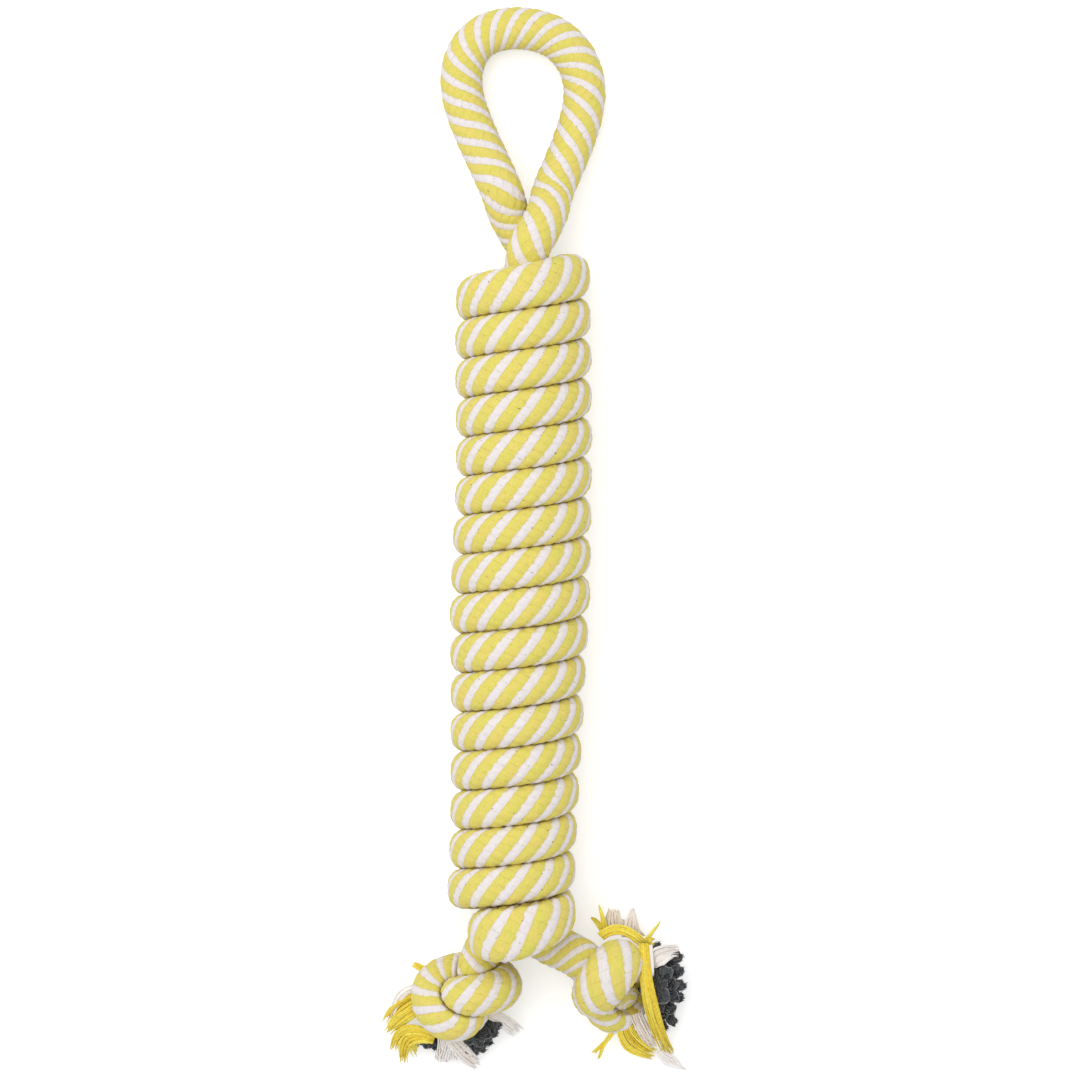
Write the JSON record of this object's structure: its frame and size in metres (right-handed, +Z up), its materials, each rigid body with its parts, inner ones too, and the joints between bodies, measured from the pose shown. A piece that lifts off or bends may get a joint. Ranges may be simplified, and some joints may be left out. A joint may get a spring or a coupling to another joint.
{
  "type": "rope dog toy",
  "caption": "Tug toy of thick cotton rope: a folded rope with a handle loop and knotted, frayed tails, wrapped along its middle by a close coil of the same rope.",
  "frame": {"origin": "on the pressed-flat underside of the coil, in the middle of its length", "axes": "+Z up off the floor that the toy lies on, +Y along the toy towards the handle loop, +X to the right seen from above"},
  "size_m": [0.1219, 0.4395, 0.0544],
  "materials": {
    "rope_cover": "soft cotton rope, braided cover in spiral bands of pale yellow and white",
    "yellow_yarn": "loose cotton cover yarn, deep yellow",
    "white_yarn": "loose cotton cover yarn, off-white",
    "filler_yarn": "thick fuzzy twisted filler yarn, charcoal grey"
  },
  "bodies": {
    "coil": {"coil_winding": "rope_cover", "front_core_leg": "rope_cover", "rear_core_leg": "rope_cover"},
    "neck": {"front_neck_leg": "rope_cover", "rear_neck_leg": "rope_cover"},
    "handle": {"handle_loop": "rope_cover"},
    "left_tail_body": {"left_tail": "rope_cover"},
    "left_knot_body": {"left_knot": "rope_cover", "left_yellow_fringe": "yellow_yarn", "left_white_fringe": "white_yarn", "left_filler_yarns": "filler_yarn"},
    "right_tail_body": {"right_tail": "rope_cover"},
    "right_knot_body": {"right_knot": "rope_cover", "right_yellow_fringe": "yellow_yarn", "right_white_fringe": "white_yarn", "right_filler_yarns": "filler_yarn"}
  },
  "joints": [
    {"name": "handle_sway", "type": "hinge", "parent": "coil", "child": "neck", "pos_m": [0.0037, 0.1372, 0.0264], "axis": [0, 0, 1], "range_deg": [-30, 30]},
    {"name": "handle_nod", "type": "hinge", "parent": "neck", "child": "handle", "pos_m": [0.00306, 0.15921, 0.02], "axis": [1, 0, 0], "range_deg": [-60, 70]},
    {"name": "left_tail_sway", "type": "hinge", "parent": "coil", "child": "left_tail_body", "pos_m": [-0.01062, -0.14536, 0.0179], "axis": [0, 0, 1], "range_deg": [-30, 5]},
    {"name": "left_knot_nod", "type": "hinge", "parent": "left_tail_body", "child": "left_knot_body", "pos_m": [-0.01606, -0.15768, 0.01454], "axis": [-0.9152, 0.4031, 0], "range_deg": [-40, 30]},
    {"name": "right_tail_sway", "type": "hinge", "parent": "coil", "child": "right_tail_body", "pos_m": [0.00762, -0.14919, 0.01774], "axis": [0, 0, 1], "range_deg": [-25, 20]},
    {"name": "right_knot_nod", "type": "hinge", "parent": "right_tail_body", "child": "right_knot_body", "pos_m": [0.02586, -0.15848, 0.0187], "axis": [-0.4532, -0.8914, 0], "range_deg": [-40, 50]}
  ]
}
